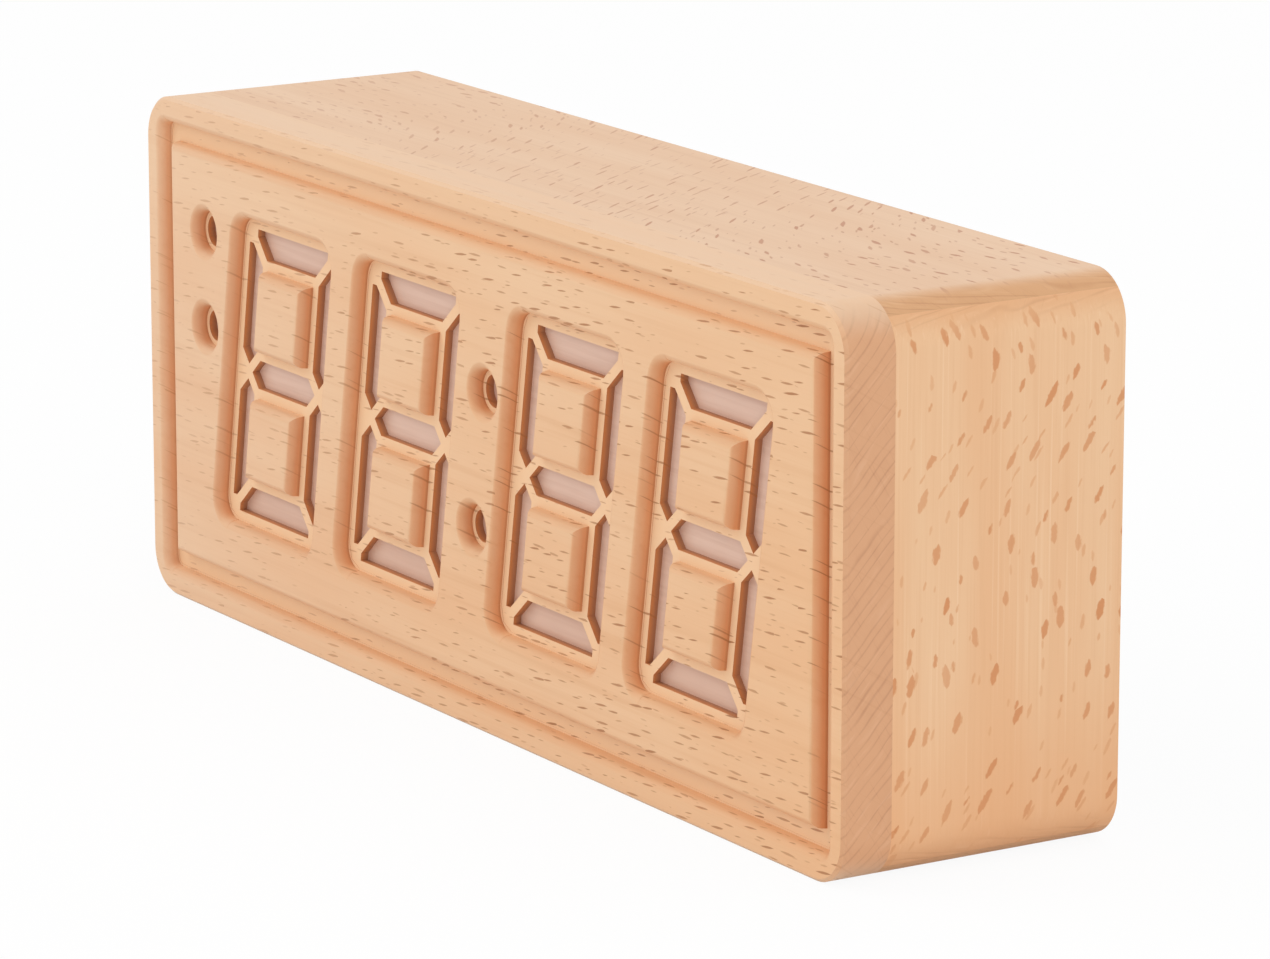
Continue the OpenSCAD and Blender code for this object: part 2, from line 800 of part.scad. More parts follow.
module rear_cover_screws() {
    color(steel)
        pan_screws(block_places, cover_out_y - head_sink, screw_d, head_d, head_h,
            cover_t - head_sink + cover_screw_in - stop_gap, -1);
}

module control_board() {
    color(board_green)
        difference() {
            slab(control_w, control_h, control_front_y, control_back_y, control_mid);
            for (p = control_screw_places)
                to_back(p[0], control_front_y - over, p[1])
                    cylinder(d = board_screw_d + 2 * screw_fit, h = pcb_t + 2 * over);
        }
}

module control_board_screws() {
    color(steel)
        pan_screws(control_screw_places, control_front_y, board_screw_d, board_head_d, board_head_h,
            pcb_t + board_screw_in, 1);
}

module clock_chip() {
    color("#222326")
        leaded_chip(clock_chip_l, chip_w, chip_h, 10, control_mid + clock_chip_off, mid_z + clock_chip_rise,
            control_front_y, -1);
}

module quartz_can() {
    color(steel)
        to_back(control_mid + clock_chip_off, control_front_y - quartz_l, mid_z - quartz_drop)
            cylinder(d = quartz_d, h = quartz_l);
}

module tact_switches() {
    color("#3a3b3f")
        for (x = button_xs)
            difference() {
                slab(tact_side, tact_side, control_back_y, tact_top_y, x, button_z);
                to_back(x, tact_top_y - plunger_down - button_travel - stop_gap, button_z)
                    cylinder(d = plunger_d + 2 * slide_fit, h = tact_h);
            }
}

module plunger(x) {
    color("#17181a")
        to_back(x, tact_top_y - plunger_down, button_z)
            cylinder(d = plunger_d, h = plunger_down + plunger_up);
}

module set_plunger() {
    plunger(button_xs[0]);
}

module up_plunger() {
    plunger(button_xs[1]);
}

module down_plunger() {
    plunger(button_xs[2]);
}

// Push button: a dished cap through the cover, a flange behind it and a stem on the switch.
module button(x) {
    cap_y = cover_out_y + button_proud;
    dish_r = button_d * 1.5;
    dish_d = 0.35;
    stem_y = tact_top_y + plunger_up;
    color("#303236")
        difference() {
            union() {
                to_back(x, flange_y, button_z)
                    cylinder(d = button_d, h = cap_y - flange_y);
                to_back(x, flange_y, button_z)
                    cylinder(d = flange_d, h = flange_t);
                to_back(x, stem_y, button_z)
                    cylinder(d = plunger_d, h = flange_y - stem_y + flange_t / 2);
            }
            translate([x, cap_y + dish_r - dish_d, button_z])
                sphere(r = dish_r);
        }
}

module set_button() {
    button(button_xs[0]);
}

module up_button() {
    button(button_xs[1]);
}

module down_button() {
    button(button_xs[2]);
}

module alarm_switch_body() {
    color("#8f9296")
        difference() {
            slab(slide_travel + slide_spare, slide_body_w, control_back_y, control_back_y + slide_body_h,
                slide_x, slide_z);
            slab(lever_l + slide_travel + 2 * stop_gap, lever_w + 4 * slide_fit, lever_y - stop_gap,
                control_back_y + slide_body_h + over, slide_x, slide_z);
        }
}

// Knob of the alarm switch, drawn at its off end.
module alarm_switch_knob() {
    x = slide_x - slide_travel / 2;
    top_y = cover_out_y + button_proud;
    groove = 0.5;
    color("#303236")
        difference() {
            union() {
                slab(knob_l, knob_w, knob_y, top_y, x, slide_z);
                slab(lever_l, lever_w, lever_y, knob_y + sink, x, slide_z);
            }
            for (k = [-1.5 : 1 : 1.5])
                slab(groove, knob_w + over, top_y - groove, top_y + over, x + 2 * groove * k, slide_z);
        }
}

module power_socket() {
    color("#1d1e20")
        difference() {
            union() {
                slab(socket_body_w, socket_body_h, control_back_y, socket_nose_y, socket_x, socket_z);
                to_back(socket_x, socket_nose_y - sink, socket_z)
                    cylinder(d = socket_nose_d, h = cover_out_y - socket_nose_y + sink);
            }
            to_back(socket_x, control_back_y + socket_floor, socket_z)
                cylinder(d = socket_bore, h = case_d);
        }
}

module power_socket_pin() {
    color(steel)
        to_back(socket_x, control_back_y + socket_floor, socket_z) {
            pin_l = cover_out_y - control_back_y - socket_floor - 1;
            cylinder(d = socket_pin_d, h = pin_l - socket_pin_d / 4);
            translate([0, 0, pin_l - socket_pin_d / 4])
                cylinder(d1 = socket_pin_d, d2 = socket_pin_d / 2, h = socket_pin_d / 4);
        }
}

module buzzer() {
    vent_d = 2;
    color("#17181a")
        difference() {
            to_back(buzzer_x, control_back_y, buzzer_z)
                cylinder(d = buzzer_d, h = buzzer_h);
            to_back(buzzer_x, control_back_y + buzzer_h / 2, buzzer_z)
                cylinder(d = vent_d, h = buzzer_h);
        }
}

// Three cells, lying in turn one way and the other.
module battery_cells() {
    for (k = [0, 1, 2])
        translate([well_x, cell_y, cell_zs[k]])
            rotate([0, k % 2 == 0 ? 90 : -90, 0])
                translate([0, 0, well_in_w / 2 - plus_reach - cell_l]) {
                    color("#2c2d31")
                        cylinder(d = cell_d, h = cell_l - nub_l);
                    color(steel)
                        translate([0, 0, cell_l - nub_l])
                            cylinder(d = nub_d, h = nub_l);
                }
}

// Contacts of the cells in series: a dimple for each plus pole, a bent leaf for each minus pole.
// Two plates link neighbouring cells; the other two have a tail out through the floor of the well.
module battery_contacts() {
    tip = 1;
    half = contact_side / 2;
    color(steel) {
        for (k = [0, 1, 2])
            translate([well_x, cell_y, cell_zs[k]])
                rotate([0, k % 2 == 0 ? 0 : 180, 0]) {
                    translate([well_in_w / 2 - plus_reach, 0, 0])
                        rotate([0, 90, 0])
                            cylinder(d = nub_d, h = plus_reach - contact_t / 2);
                    translate([-well_in_w / 2, 0, -half / 2])
                        linear_extrude(half)
                            polygon([
                                [contact_t / 2, half], [minus_reach, tip], [minus_reach, -tip],
                                [contact_t / 2, -half], [contact_t / 2, 2 * contact_t - half],
                                [minus_reach - contact_t, -tip / 2], [minus_reach - contact_t, tip / 2],
                                [contact_t / 2, half - 2 * contact_t]
                            ]);
                }
        for (end = [-1, 1]) {
            x = well_x + end * (well_in_w - contact_t) / 2;
            slab(contact_t, contact_side, cell_y - half, cell_y + half, x, cell_zs[1 - end]);
            slab(contact_t, tail_w, tail_y, cell_y, x, cell_zs[1 - end]);
            slab(contact_t, contact_side + cell_pitch, cell_y - half, cell_y + half,
                x, mid_z + end * cell_pitch / 2);
        }
    }
}

// Two leads in front of the well, from the contact tails to the solder posts of the control board.
module battery_wires() {
    for (end = [-1, 1]) {
        z = cell_zs[1 - end];
        start_x = well_x + end * (well_in_w - contact_t) / 2 + contact_t / 2;
        color(end > 0 ? "#a02020" : "#18181a")
            translate([start_x, lead_y, z])
                rotate([0, 90, 0])
                    cylinder(d = lead_d, h = post_x - start_x);
        color(steel)
            slab(post_side, post_side, lead_y - post_side / 2, control_front_y, post_x + post_side / 2, z);
    }
}

// Battery door, hung on two tabs at its round lower edge, with a finger scoop at the top.
module battery_door() {
    scoop_d = 9;
    rib_t = 0.6;
    color("#2b2c30")
        difference() {
            union() {
                slab(door_w, door_h - door_t / 2, door_y, door_y + door_t, well_x, mid_z + door_t / 4);
                translate([well_x - door_w / 2, hinge_y, hinge_z])
                    rotate([0, 90, 0])
                        cylinder(d = door_t, h = door_w);
                for (x = tab_xs) {
                    slab(tab_w, tab_down + door_t, cover_y - stop_gap - tab_t, cover_y - stop_gap,
                        x, hinge_z - door_t / 2 + (door_t - tab_down) / 2);
                    slab(tab_w, door_t / 2, cover_y - stop_gap - tab_t, door_y + sink,
                        x, hinge_z + door_t / 4);
                }
            }
            to_back(well_x, door_y + door_t - rib_t, mid_z + door_h / 2)
                cylinder(d = scoop_d, h = over);
            for (k = [0 : 4])
                slab(scoop_d, rib_t, door_y + door_t - rib_t / 2, door_y + door_t + over,
                    well_x, mid_z + door_h / 2 - scoop_d / 2 - 2 * rib_t * (k + 1));
        }
}

front_panel();
top_board();
bottom_board();
left_side_board();
right_side_board();
corner_blocks();
diffuser_sheet();
segment_reflector();
display_board();
display_lamps();
display_driver_chip();
display_screws();
display_ribbon();
rear_cover();
rear_cover_screws();
control_board();
control_board_screws();
clock_chip();
quartz_can();
tact_switches();
set_plunger();
up_plunger();
down_plunger();
set_button();
up_button();
down_button();
alarm_switch_body();
alarm_switch_knob();
power_socket();
power_socket_pin();
buzzer();
battery_cells();
battery_contacts();
battery_wires();
battery_door();
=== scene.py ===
"""Wooden alarm clock: beech case, carved front and plastic back, dressed for a studio picture."""

import json
import math

import bmesh
import bpy
from mathutils import Matrix, Vector


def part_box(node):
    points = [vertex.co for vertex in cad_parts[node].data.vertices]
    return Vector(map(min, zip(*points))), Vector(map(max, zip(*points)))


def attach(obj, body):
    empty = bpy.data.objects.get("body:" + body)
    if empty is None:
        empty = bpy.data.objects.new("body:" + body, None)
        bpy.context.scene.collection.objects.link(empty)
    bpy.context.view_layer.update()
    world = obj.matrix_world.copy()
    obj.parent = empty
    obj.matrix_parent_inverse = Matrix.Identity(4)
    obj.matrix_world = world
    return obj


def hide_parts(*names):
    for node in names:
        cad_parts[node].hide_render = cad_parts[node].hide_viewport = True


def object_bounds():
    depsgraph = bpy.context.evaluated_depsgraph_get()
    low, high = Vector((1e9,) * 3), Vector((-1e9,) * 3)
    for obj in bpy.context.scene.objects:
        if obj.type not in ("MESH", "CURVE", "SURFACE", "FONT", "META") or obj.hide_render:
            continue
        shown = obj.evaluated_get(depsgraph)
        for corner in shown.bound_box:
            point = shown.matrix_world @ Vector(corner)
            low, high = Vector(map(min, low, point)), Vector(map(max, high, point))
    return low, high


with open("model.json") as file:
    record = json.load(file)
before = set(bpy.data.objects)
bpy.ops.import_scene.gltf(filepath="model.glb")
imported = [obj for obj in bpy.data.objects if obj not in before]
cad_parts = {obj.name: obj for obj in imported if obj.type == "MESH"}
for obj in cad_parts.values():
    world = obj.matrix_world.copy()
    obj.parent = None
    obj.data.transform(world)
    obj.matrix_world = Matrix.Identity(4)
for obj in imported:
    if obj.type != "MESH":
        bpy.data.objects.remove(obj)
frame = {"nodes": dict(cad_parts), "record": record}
cad_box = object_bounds()
nodes = frame["nodes"]
scene = bpy.context.scene

# Sizes of the case in mm: its box from the frame, the round of its corners and the depth of its carving
MM = 0.001
HALF_W = cad_box[1][0] / MM
CASE_H = cad_box[1][2] / MM
FRONT_Y = cad_box[0][1] / MM
COVER_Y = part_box("rear_cover")[1][1] / MM
CORNER = 7.0
RELIEF = 2.2

# Points of a CAD mesh that lie closer than this in mm are one point
WELD = 0.002


def srgb(r, g, b):
    """A colour as it is read off a screen, turned into the linear values that a shader takes."""
    def linear(c):
        c /= 255.0
        return c / 12.92 if c <= 0.04045 else ((c + 0.055) / 1.055) ** 2.4
    return (linear(r), linear(g), linear(b), 1.0)


def shade(colour, factor, lift=0.0):
    """A lighter or darker shade of a linear colour."""
    return tuple(min(1.0, c * factor + lift) for c in colour[:3]) + (1.0,)


class Wire:
    """A socket that can be used in an expression; each operator adds one Math node."""

    def __init__(self, bench, socket):
        self.bench = bench
        self.socket = socket

    def of(self, name):
        """Another output of the same node."""
        return Wire(self.bench, self.socket.node.outputs[name])

    def math(self, operation, other=None):
        values = {0: self} if other is None else {0: self, 1: other}
        return self.bench.node("ShaderNodeMath", {"operation": operation}, values)

    def __add__(self, other):
        return self.math("ADD", other)

    __radd__ = __add__

    def __sub__(self, other):
        return self.math("SUBTRACT", other)

    def __rsub__(self, other):
        return self.bench.node("ShaderNodeMath", {"operation": "SUBTRACT"}, {0: other, 1: self})

    def __mul__(self, other):
        return self.math("MULTIPLY", other)

    __rmul__ = __mul__

    def __truediv__(self, other):
        return self.math("DIVIDE", other)

    def __rtruediv__(self, other):
        return self.bench.node("ShaderNodeMath", {"operation": "DIVIDE"}, {0: other, 1: self})

    def __abs__(self):
        return self.math("ABSOLUTE")

    def step(self, low, high):
        """0 below low, 1 above high, and smooth between them."""
        return self.bench.node(
            "ShaderNodeMapRange", {"interpolation_type": "SMOOTHSTEP"},
            {"Value": self, "From Min": low, "From Max": high, "To Min": 0.0, "To Max": 1.0})

    def most(self, other):
        return self.math("MAXIMUM", other)


class Bench:
    """A node tree in which a finish, the screws, the floor or the light round the clock are made."""

    def __init__(self, tree):
        self.tree = tree
        tree.nodes.clear()

    def node(self, kind, settings=None, values=None, out=0):
        """A node of this kind: its settings are set first, then its sockets' values or links.
        A list of wires goes to one socket that takes several."""
        made = self.tree.nodes.new(kind)
        for key, value in (settings or {}).items():
            setattr(made, key, value)
        for key, value in (values or {}).items():
            socket = made.inputs[key] if isinstance(key, int) else next(
                s for s in made.inputs if s.identifier == key or (s.name == key and s.enabled))
            if isinstance(value, (Wire, list)):
                for wire in value if isinstance(value, list) else [value]:
                    self.tree.links.new(wire.socket, socket)
            else:
                socket.default_value = value
        return Wire(self, made.outputs[out]) if len(made.outputs) else None

    def parts(self, vector):
        """The three parts of a vector, each as a value."""
        split = self.node("ShaderNodeSeparateXYZ", None, {0: vector})
        return [split, split.of("Y"), split.of("Z")]

    def vector(self, x, y, z=0.0):
        return self.node("ShaderNodeCombineXYZ", None, {0: x, 1: y, 2: z})

    def noise(self, x, y, z=0.0, detail=2.0, rough=0.5):
        """Smooth noise from 0 to 1 at a point given in its own units."""
        return self.node(
            "ShaderNodeTexNoise", {"noise_dimensions": "3D"},
            {"Vector": self.vector(x, y, z), "Scale": 1.0, "Detail": detail, "Roughness": rough})

    def mix(self, factor, a, b):
        return self.node("ShaderNodeMix", {"data_type": "RGBA", "blend_type": "MIX"},
                         {"Factor_Float": factor, "A_Color": a, "B_Color": b}, "Result")

    def in_sight(self):
        """1 for rays that show something to the camera, also by reflection, and 0 for those that light."""
        rays = self.node("ShaderNodeLightPath", None, None, "Is Camera Ray")
        return rays.most(rays.of("Is Glossy Ray")).most(rays.of("Is Transmission Ray"))


class Finish(Bench):
    """One material: a Principled shader and the nodes that feed it."""

    def __init__(self, name, **constants):
        self.material = bpy.data.materials.new(name)
        self.material.use_nodes = True
        super().__init__(self.material.node_tree)
        surface = self.node("ShaderNodeBsdfPrincipled", None,
                            {key.replace("_", " "): value for key, value in constants.items()})
        self.shader = surface.socket.node
        self.node("ShaderNodeOutputMaterial", None, {"Surface": surface})

    def place(self):
        """The point on the object in millimetres, as three values."""
        return [v / MM for v in self.parts(self.node("ShaderNodeTexCoord", None, None, "Object"))]

    def normal(self):
        return self.parts(self.node("ShaderNodeTexCoord", None, None, "Normal"))

    def feed(self, socket, wire):
        self.tree.links.new(wire.socket, self.shader.inputs[socket])

    def bump(self, height, strength, depth_mm):
        self.feed("Normal", self.node(
            "ShaderNodeBump", None,
            {"Strength": strength, "Distance": depth_mm * MM, "Height": height}, "Normal"))


# Marks of the rays: the smallest one and what chance adds, as shares of the size given, the strength of
# the faintest one, the grain of their torn edges in mm, the noise above which they stand closest, and the
# step of the seed from one kind of mark to the next
MARK_LEAST = 0.5
MARK_GROWTH = 0.9
MARK_FAINTEST = 0.6
TORN_ALONG = 0.9
TORN_ACROSS = 0.45
CROWDED = 0.6
SEED_STEP = 3.7


def flecks(f, along, across, lean, mark, seed):
    """Marks of the wood's rays as a mask from 0 to 1, about one for each cell of the given size in mm."""
    wide, high = mark["cell"]
    u = along / wide + seed
    v = across / high + 2.0 * seed
    cells = f.node("ShaderNodeTexVoronoi", {"voronoi_dimensions": "2D", "feature": "F1"},
                   {"Vector": f.vector(u, v), "Scale": 1.0}, "Position")
    spot = f.parts(cells)
    size_chance, lean_chance, shown_chance = f.parts(cells.of("Color"))
    du = (u - spot[0]) * wide
    dv = (v - spot[1]) * high - du * ((lean_chance - 0.5) * mark["spread"] + lean)
    scale = size_chance * MARK_GROWTH + MARK_LEAST
    reach = abs(du / (scale * mark["half_length"]))
    ragged = (f.noise(along / TORN_ALONG, across / TORN_ACROSS, seed, 1.0) - 0.5) * mark["ragged"]
    edge = (1.0 - reach.math("POWER", mark["blunt"])) * scale * mark["half_width"] - abs(dv) + ragged
    crowd_length, crowd_width, crowd_from = mark["crowd"]
    crowd = f.noise(along / crowd_length, across / crowd_width, seed, 1.0).step(crowd_from, CROWDED)
    shown = shown_chance.math("LESS_THAN", crowd * mark["shown"])
    strength = lean_chance * (1.0 - MARK_FAINTEST) + MARK_FAINTEST
    return edge.step(-mark["soft"], mark["soft"]) * shown * strength


# Sizes of the end grain in mm: the wander of its year lines, its rays, patches and glints, and the length
# of these into the board
WANDER_MM = 3.0
RAY_MM = 0.35
PATCH_MM = 5.0
GLINT_MM = 7.0
END_MM = 40.0

# How far the year lines wander and drift in mm, and the rays and glints counted in years
WANDER_REACH = 3.5
DRIFT_REACH = 1.6
RAY_YEARS = 3.0
GLINTS_PER_YEAR = 2.3
GLINT_SEED = 7.0

# The span over which each layer of the end grain appears, and how strongly it shows
YEAR_LINE = (0.34, 0.5)
YEAR_SHARE = 0.06
YEAR_IN_PATCH = 0.6
RAYS_SHOWN = (0.6, 0.8)
RAY_SHARE = 0.22
PATCH_SHARE = 0.5
GLINTS_SHOWN = (0.56, 0.76)
GLINT_SHARE = 0.5


def end_grain(f, along, across, depth, height, drift, tones):
    """The colour of a board's sawn end: wandering year lines, fine rays, dark patches and pale glints."""
    up, inward, spacing = tones["ring"]
    rise = height * up + depth * inward
    wander = f.noise(rise / WANDER_MM, 0.0, 0.0, 1.0)
    years = (rise + wander * WANDER_REACH + drift * DRIFT_REACH) / spacing
    line = abs(years.math("FRACT") - 0.5).step(*YEAR_LINE)
    rays = f.noise((across + depth) / RAY_MM, years / RAY_YEARS, along / END_MM, 1.0)
    patch = f.noise(across / PATCH_MM, depth / PATCH_MM, along / END_MM, 2.0)
    dark = line * (patch * YEAR_IN_PATCH + YEAR_SHARE) + rays.step(*RAYS_SHOWN) * RAY_SHARE
    tone = f.mix(dark + (patch - 0.5) * PATCH_SHARE, srgb(*tones["end"]), srgb(*tones["end_line"]))
    glint = f.noise(years * GLINTS_PER_YEAR + GLINT_SEED, across / GLINT_MM, depth / GLINT_MM, 1.0)
    return f.mix(glint.step(*GLINTS_SHOWN) * GLINT_SHARE, tone, srgb(*tones["end_pale"]))


# Layers of the grain: their length and thickness in mm, and the span of their noise over which they appear
BANDS = (75.0, 12.0)
BANDS_SHOWN = (0.3, 0.72)
STREAKS = (60.0, 1.5)
STREAKS_SHOWN = (0.48, 0.78)
FIBRES = (18.0, 0.32)
FIBRES_SHOWN = (0.45, 0.8)
PALE_LINES = (45.0, 0.45, 1.0)
PALE_LINES_SHOWN = (0.58, 0.8)
DRIFT = (40.0, 14.0)

# How much of the marks is lost on sawn ends and on faces that look across the grain
END_HIDES = 0.8
EDGE_HIDES = 0.9
EDGE_FROM = (0.5, 0.9)

# Gloss and relief of the oiled surface
WOOD_ROUGH = 0.46
FIBRE_ROUGH = 0.12
END_ROUGH = 0.1
PORE_MM = 0.04
PORE_STRENGTH = 0.3


def beech(name, grain, tones, lean, carve=None):
    """Oiled beech. grain gives the axes along, across and into the board, tones its colours and marks,
    lean the slope of its marks, and carve what a piece adds to the bare tone under the marks."""
    f = Finish(name, IOR=1.47, Specular_IOR_Level=0.3)
    point = f.place()
    normal = f.normal()
    along, height, depth = (point[i] for i in grain)
    across = height + depth * tones["shear"]

    def layer(length, thickness, detail=2.0):
        """Noise drawn out along the grain."""
        return f.noise(along / length, across / thickness, depth / thickness, detail)

    streak = layer(*STREAKS)
    fibre = layer(*FIBRES)
    tone = f.mix(layer(*BANDS).step(*BANDS_SHOWN), srgb(*tones["light"]), srgb(*tones["warm"]))
    tone = f.mix(streak.step(*STREAKS_SHOWN) * tones["streak"], tone, srgb(*tones["late"]))
    tone = f.mix(fibre.step(*FIBRES_SHOWN) * tones["fibre"], tone, srgb(*tones["late"]))
    if "pale" in tones:
        pale = layer(*PALE_LINES).step(*PALE_LINES_SHOWN)
        tone = f.mix(pale * tones["pale"], tone, srgb(*tones["pale_line"]))
    if "foot" in tones:
        foot = 1.0 - along.step(*tones["foot_from"])
        tone = f.mix(foot * tones["foot"], tone, srgb(*tones["foot_tone"]))
    end = abs(normal[grain[0]]).step(*tones["end_from"])
    end_tone = end_grain(f, along, across, depth, height, layer(*DRIFT), tones)
    if carve:
        tone, marked = carve(f, point, normal, tone, end, end_tone, streak)
    else:
        tone = f.mix(end, tone, end_tone)
        marked = (1.0 - end * END_HIDES) * (1.0 - abs(normal[grain[1]]).step(*EDGE_FROM) * EDGE_HIDES)
    start, finish, weak, full = tones["strong"]
    marked = marked * (along.step(start, finish) * (full - weak) + weak)
    marks = None
    for k, mark in enumerate(tones["marks"]):
        mask = flecks(f, along, across, lean(along), mark, SEED_STEP * k + tones["seed"]) * marked
        tone = f.mix(mask * mark["strength"], tone, srgb(*mark["colour"]))
        marks = mask if marks is None else marks.most(mask)
    f.feed("Base Color", tone)
    f.feed("Roughness", WOOD_ROUGH + fibre * FIBRE_ROUGH + end * END_ROUGH)
    f.bump(fibre * 0.5 - marks * 0.5, PORE_STRENGTH, PORE_MM)
    return f.material


# Colours of the carved front: three washes over the whole plank, then the carving with its painted light
# and shade, then the raw outside
PALE_LEFT = srgb(239, 205, 177)
WARM_RIGHT = srgb(243, 189, 137)
LIGHT_TOP = srgb(248, 212, 174)
# Painted light: the ledges and groove floors deep in the carving are coloured lighter than the field
LEDGE_PAINTED_LIGHT = srgb(250, 208, 165)
# Painted shade on carved faces that tilt up or down
SLOPE_SHADE = srgb(214, 156, 108)
# Scorch and painted shade: flanks that face sideways are darkened, more towards their foot
SCORCH_AND_SHADE = srgb(208, 123, 66)
# Painted shadow: a dark line in the crease at the foot of each flank
CREASE_SHADE = srgb(150, 82, 42)
# Walls under the carving: sawn wood darkened by painted shade, darkest at their foot
SHADED_WALL_TOP = srgb(212, 142, 88)
SHADED_WALL_FOOT = srgb(176, 124, 92)
RAW_EDGE = srgb(226, 192, 161)

# Where the washes run across and up the plank in mm, and how strong they are
LEFT_FROM = (-110.0, 10.0)
RIGHT_FROM = (20.0, 110.0)
TOP_FROM = (40.0, 80.0)
SIDE_WASH = 0.3
TOP_WASH = 0.25

# How far a face must look forward to be a ledge, sideways to be a flank, or up or down to slope or be level
LEDGE_FROM = (0.9, 0.99)
FLANK_FROM = (0.08, 0.7)
SLOPE_FROM = (0.05, 0.5)
LEVEL_FROM = (0.3, 0.9)

# Depths in mm over which each part of the carving, with its painted light and shade, begins
FOOT_DEPTH = (0.3, RELIEF)
LEDGE_DEPTH = (RELIEF - 0.3, RELIEF - 0.1)
CREASE_SHADE_DEPTH = (RELIEF - 0.5, RELIEF - 0.05)
SAWN_DEPTH = (RELIEF + 0.05, RELIEF + 0.2)
WALL_SHADE_DEPTH = (RELIEF + 0.1, RELIEF + 1.2)

# How strongly painted shade darkens the slopes, scorch and painted shade the flanks and their foot, and a
# painted shadow the creases under them
SLOPE_SHADE_SHARE = 0.2
SCORCH_AND_SHADE_SHARE = 0.42
SCORCH_AND_SHADE_FOOT = 0.2
CREASE_SHADE_SHARE = 0.35

# Depth of the raw skin in mm, its strength on top and what the streaks take from that, and what it hides of
# the marks on its ends and on its top
SKIN = (0.9, 1.5)
RAW_SHARE = 0.85
RAW_STREAK = 0.3
SKIN_END_HIDES = 0.9
SKIN_TOP_HIDES = 0.65

# The border groove's flank at the far left gets only half the scorch and painted shade
LEFT_RIM = (86.0, 91.0)
LEFT_RIM_LOSES = 0.5


def carved_front(f, point, normal, tone, end, end_tone, streak):
    """The front plank: raw ends and top outside; in the carving, painted light on ledges, scorched flanks
    and dark sawn walls with painted shade, painted shade on slopes and a painted shadow in creases.
    """
    x, y, z = point
    out_x = (abs(x) - (HALF_W - CORNER)).most(0.0)
    out_z = (abs(z - CASE_H / 2) - (CASE_H / 2 - CORNER)).most(0.0)
    skin = 1.0 - (CORNER - (out_x * out_x + out_z * out_z).math("SQRT")).step(*SKIN)
    carving = 1.0 - skin
    depth = y - FRONT_Y
    # The flanks' scorch and painted shade grow darker with depth
    foot = depth.step(*FOOT_DEPTH)
    level = abs(normal[2]).step(*LEVEL_FROM)
    ledge_painted_light = abs(normal[1]).step(*LEDGE_FROM) * depth.step(*LEDGE_DEPTH)
    flank = abs(normal[0]).step(*FLANK_FROM) * (1.0 - (0.0 - x).step(*LEFT_RIM) * LEFT_RIM_LOSES)
    slope = abs(normal[2]).step(*SLOPE_FROM)
    tone = f.mix((1.0 - x.step(*LEFT_FROM)) * SIDE_WASH, tone, PALE_LEFT)
    tone = f.mix(x.step(*RIGHT_FROM) * SIDE_WASH, tone, WARM_RIGHT)
    tone = f.mix(z.step(*TOP_FROM) * TOP_WASH, tone, LIGHT_TOP)
    # Painted light on the ledges and floors deep in the carving
    tone = f.mix(ledge_painted_light * carving, tone, LEDGE_PAINTED_LIGHT)
    # Painted shade on the carved faces that tilt up or down
    tone = f.mix(slope * carving * SLOPE_SHADE_SHARE, tone, SLOPE_SHADE)
    # Scorch and painted shade on the flanks, deeper towards their foot
    tone = f.mix(flank * carving * (foot * SCORCH_AND_SHADE_FOOT + SCORCH_AND_SHADE_SHARE), tone, SCORCH_AND_SHADE)
    # Painted shadow in the crease at the foot of the flanks
    crease_shade = depth.step(*CREASE_SHADE_DEPTH) * flank * carving
    tone = f.mix(crease_shade * CREASE_SHADE_SHARE, tone, CREASE_SHADE)
    # Walls under the carving: darker sawn wood with painted shade that deepens towards their foot
    sawn = depth.step(*SAWN_DEPTH) * end.most(level) * carving
    tone = f.mix(sawn, tone, f.mix(depth.step(*WALL_SHADE_DEPTH), SHADED_WALL_TOP, SHADED_WALL_FOOT))
    tone = f.mix(end * skin, tone, end_tone)
    tone = f.mix(level * skin * (RAW_SHARE - streak * RAW_STREAK), tone, RAW_EDGE)
    return tone, 1.0 - skin * (end * SKIN_END_HIDES).most(level * SKIN_TOP_HIDES)


# Tones of the three kinds of board. Colours are as read off a screen and lengths are in mm. streak, fibre,
# pale and foot say how strongly these show, and shear how far the grain slants into the board.
# ring: the year lines' slope up and in, and their spacing.
# end_from: how far a face must look along the grain to be a sawn end.
# strong: the stretch along the grain where the marks change strength, and the strength before and after it.
# crowd: length and width of crowded places, and the noise at which marks begin there.
front_tones = {
    "light": (243, 201, 160), "warm": (240, 191, 147), "late": (222, 166, 118),
    "streak": 0.3, "fibre": 0.14, "shear": 0.6, "seed": 0.3,
    "end": (221, 168, 128), "end_line": (188, 132, 98), "end_pale": (229, 180, 142),
    "ring": (1.0, -1.05, 2.1), "end_from": (0.15, 0.85), "strong": (-115.0, 50.0, 0.45, 1.15),
    "marks": [
        {"cell": (4.4, 2.1), "half_length": 1.4, "half_width": 0.13, "spread": 0.14, "shown": 0.85,
         "blunt": 2.0, "soft": 0.05, "strength": 0.8, "colour": (180, 120, 76), "ragged": 0.06,
         "crowd": (34.0, 3.4, 0.3)},
        {"cell": (3.3, 1.5), "half_length": 0.7, "half_width": 0.1, "spread": 0.2, "shown": 0.45,
         "blunt": 2.0, "soft": 0.05, "strength": 0.45, "colour": (192, 134, 90), "ragged": 0.04,
         "crowd": (20.0, 3.0, 0.3)},
    ],
}
